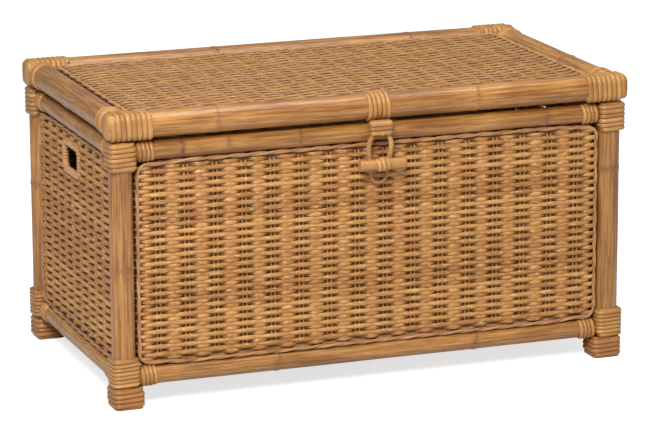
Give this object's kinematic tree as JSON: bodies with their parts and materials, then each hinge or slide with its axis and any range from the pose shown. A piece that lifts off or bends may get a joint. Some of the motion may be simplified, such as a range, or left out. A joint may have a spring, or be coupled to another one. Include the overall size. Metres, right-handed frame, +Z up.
{
  "type": "wicker storage chest",
  "caption": "Rattan pole chest with woven wicker panels, cane-bound corners, end hand-holds, a hinged lid, and a cane loop and wooden peg latch.",
  "frame": {"origin": "middle of the whole outline seen from above, on the surface that the feet stand on", "axes": "+X to the chest's right along its length as seen from the front, -Y towards the front with the latch, +Z up"},
  "size_m": [0.8052, 0.4731, 0.4343],
  "materials": {
    "rattan_pole": "varnished rattan pole, honey brown, satin gloss",
    "binding_cane": "varnished cane strand, light honey, satin gloss",
    "foot_cane": "varnished cane strand, reddish brown, satin",
    "woven_cane": "woven round cane core, honey brown, satin",
    "trim_cane": "twisted cane edge cord, brown, matte",
    "loop_cane": "cane loop wound with fine strand, honey brown",
    "peg_wood": "varnished cane peg, light honey, satin gloss",
    "hinge_brass": "aged brass"
  },
  "bodies": {
    "chest": {"post_front_left": "rattan_pole", "post_front_right": "rattan_pole", "post_back_left": "rattan_pole", "post_back_right": "rattan_pole", "foot_front_left": "foot_cane", "foot_front_right": "foot_cane", "foot_back_left": "foot_cane", "foot_back_right": "foot_cane", "bottom_rail_front": "rattan_pole", "bottom_rail_back": "rattan_pole", "bottom_rail_left": "rattan_pole", "bottom_rail_right": "rattan_pole", "top_rail_front": "rattan_pole", "top_rail_back": "rattan_pole", "top_rail_left": "rattan_pole", "top_rail_right": "rattan_pole", "binding_top_front_left": "binding_cane", "binding_top_front_right": "binding_cane", "binding_top_back_left": "binding_cane", "binding_top_back_right": "binding_cane", "binding_bottom_front_left": "binding_cane", "binding_bottom_front_right": "binding_cane", "binding_bottom_back_left": "binding_cane", "binding_bottom_back_right": "binding_cane", "front_panel": "woven_cane", "back_panel": "woven_cane", "left_panel": "woven_cane", "right_panel": "woven_cane", "front_trim": "trim_cane", "back_trim": "trim_cane", "left_trim": "trim_cane", "right_trim": "trim_cane", "handhold_frame_left": "trim_cane", "handhold_frame_right": "trim_cane", "base_panel": "woven_cane", "base_stretchers": "rattan_pole", "hinge_box_leaf_left": "hinge_brass", "hinge_box_leaf_right": "hinge_brass", "hinge_pins": "hinge_brass", "hinge_screws_box": "hinge_brass"},
    "toggle": {"toggle_stem": "peg_wood", "toggle_peg": "peg_wood", "toggle_lashing": "binding_cane"},
    "lid": {"lid_rail_front": "rattan_pole", "lid_rail_back": "rattan_pole", "lid_rail_left": "rattan_pole", "lid_rail_right": "rattan_pole", "lid_panel": "woven_cane", "lid_trim": "trim_cane", "lid_stretchers": "rattan_pole", "lid_bindings_front": "binding_cane", "lid_bindings_back": "binding_cane", "hinge_lid_leaf_left": "hinge_brass", "hinge_lid_leaf_right": "hinge_brass", "hinge_screws_lid": "hinge_brass", "latch_strap": "binding_cane"},
    "latch": {"latch_tab": "binding_cane", "latch_loop": "loop_cane"}
  },
  "joints": [
    {"name": "lid_hinge", "type": "hinge", "parent": "chest", "child": "lid", "pos_m": [0, 0.2302, 0.391], "axis": [-1, 0, 0], "range_deg": [0, 100]},
    {"name": "loop_swing", "type": "hinge", "parent": "lid", "child": "latch", "pos_m": [0.007, -0.22, 0.3915], "axis": [-1, 0, 0], "range_deg": [0, 120], "deforming": ["latch_loop"]},
    {"name": "toggle_turn", "type": "hinge", "parent": "chest", "child": "toggle", "pos_m": [0.007, -0.2255, 0.3316], "axis": [0, 1, 0], "range_deg": [0, 90]}
  ]
}
